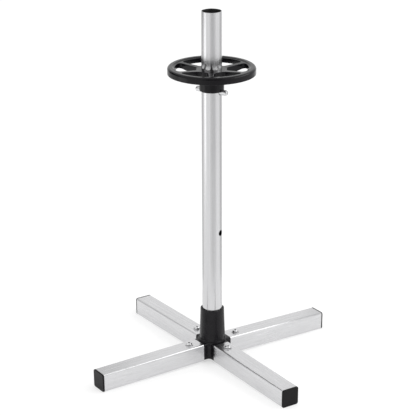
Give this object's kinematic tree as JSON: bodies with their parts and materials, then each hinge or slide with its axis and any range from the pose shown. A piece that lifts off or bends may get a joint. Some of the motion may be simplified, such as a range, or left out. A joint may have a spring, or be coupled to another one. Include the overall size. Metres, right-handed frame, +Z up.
{
  "type": "wheel storage stand",
  "caption": "Floor stand with a steel cross base, a moulded hub, an upright tube and a spoked disc on a cross pin that carries stacked wheels.",
  "frame": {"origin": "on the floor, on the axis of the upright tube", "axes": "+Z up along the upright tube; the legs run along +X (right), +Y (back), -X (left) and -Y (front)"},
  "size_m": [0.6734, 0.6734, 0.903],
  "materials": {
    "black_plastic": "fine moulded texture, satin",
    "cap_plastic": "satin moulded",
    "polished_tube": "satin, drawn along the tube",
    "brushed_tube": "brushed along the tube",
    "chrome": "polished"
  },
  "bodies": {
    "base": {"base_hub": "black_plastic", "leg_tube_right": "brushed_tube", "leg_tube_back": "brushed_tube", "leg_tube_left": "brushed_tube", "leg_tube_front": "brushed_tube", "leg_cap_right": "cap_plastic", "leg_cap_back": "cap_plastic", "leg_cap_left": "cap_plastic", "leg_cap_front": "cap_plastic", "leg_bolts": "chrome", "leg_washers": "chrome", "leg_nuts": "chrome"},
    "pole": {"upright_pole": "polished_tube"},
    "pin": {"cross_pin": "chrome"},
    "disc": {"support_disc": "black_plastic"}
  },
  "joints": [
    {"name": "pole_lift", "type": "slide", "parent": "base", "child": "pole", "axis": [0, 0, 1], "range_m": [0, 0.13]},
    {"name": "disc_lift", "type": "slide", "parent": "pole", "child": "disc", "axis": [0, 0, 1], "range_m": [0, 0.21]},
    {"name": "pin_pull", "type": "slide", "parent": "pole", "child": "pin", "axis": [0.4226, -0.9063, 0], "range_m": [-0.08, 0.08]}
  ]
}
